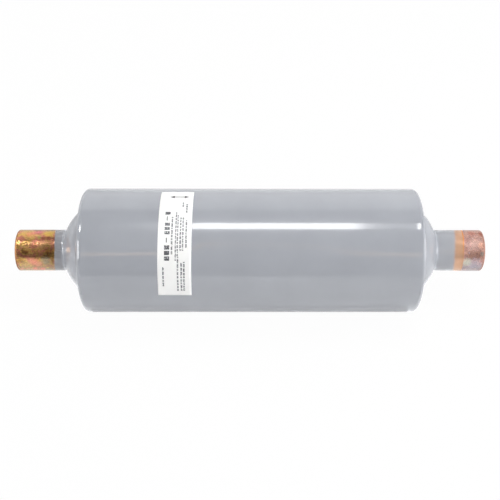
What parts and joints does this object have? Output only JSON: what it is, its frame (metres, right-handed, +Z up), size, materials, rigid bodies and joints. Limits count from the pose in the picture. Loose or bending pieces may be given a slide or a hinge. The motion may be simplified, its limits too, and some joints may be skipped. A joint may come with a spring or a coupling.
{
  "type": "bi-flow filter drier",
  "caption": "Round steel bi-flow filter drier for a refrigerant line, with domed ends, copper solder sockets and check valves inside.",
  "frame": {"origin": "on the shell's axis, half way between the mouths of the two solder sockets", "axes": "+X along the shell's axis towards the fitting on the can's drawn end, +Z up; the label's middle faces up and towards -Y"},
  "size_m": [0.2852, 0.0762, 0.0763],
  "materials": {
    "grey_enamel": "gloss",
    "copper": "satin",
    "label_film": "satin",
    "desiccant": "matte",
    "plated_steel": "satin",
    "spring_steel": "satin",
    "gasket_fibre": "matte",
    "polyester_felt": "matte"
  },
  "bodies": {
    "housing": {"shell_body": "grey_enamel", "end_cap": "grey_enamel", "closing_weld": "grey_enamel", "label": "label_film", "desiccant_core": "desiccant", "core_spring": "spring_steel", "left_fitting": "copper", "left_braze_fillet": "grey_enamel", "left_core_gasket": "gasket_fibre", "left_outlet_screen": "plated_steel", "left_outlet_pad": "polyester_felt", "left_valve_bush": "plated_steel", "left_valve_plate": "plated_steel", "left_outlet_cage": "plated_steel", "right_fitting": "copper", "right_braze_fillet": "grey_enamel", "right_core_gasket": "gasket_fibre", "right_outlet_screen": "plated_steel", "right_outlet_pad": "polyester_felt", "right_valve_bush": "plated_steel", "right_valve_plate": "plated_steel", "right_outlet_cage": "plated_steel"},
    "left_inlet_flap": {"left_inlet_flap": "spring_steel"},
    "left_outlet_disc": {"left_outlet_disc": "plated_steel"},
    "right_inlet_flap": {"right_inlet_flap": "spring_steel"},
    "right_outlet_disc": {"right_outlet_disc": "plated_steel"}
  },
  "joints": [
    {"name": "left_inlet_flap_slide", "type": "slide", "parent": "housing", "child": "left_inlet_flap", "axis": [1, 0, 0], "range_m": [0, 0.0024]},
    {"name": "right_inlet_flap_slide", "type": "slide", "parent": "housing", "child": "right_inlet_flap", "axis": [-1, 0, 0], "range_m": [0, 0.0024]},
    {"name": "left_outlet_disc_slide", "type": "slide", "parent": "housing", "child": "left_outlet_disc", "axis": [-1, 0, 0], "range_m": [0, 0.004]},
    {"name": "right_outlet_disc_slide", "type": "slide", "parent": "housing", "child": "right_outlet_disc", "axis": [1, 0, 0], "range_m": [0, 0.004]}
  ]
}
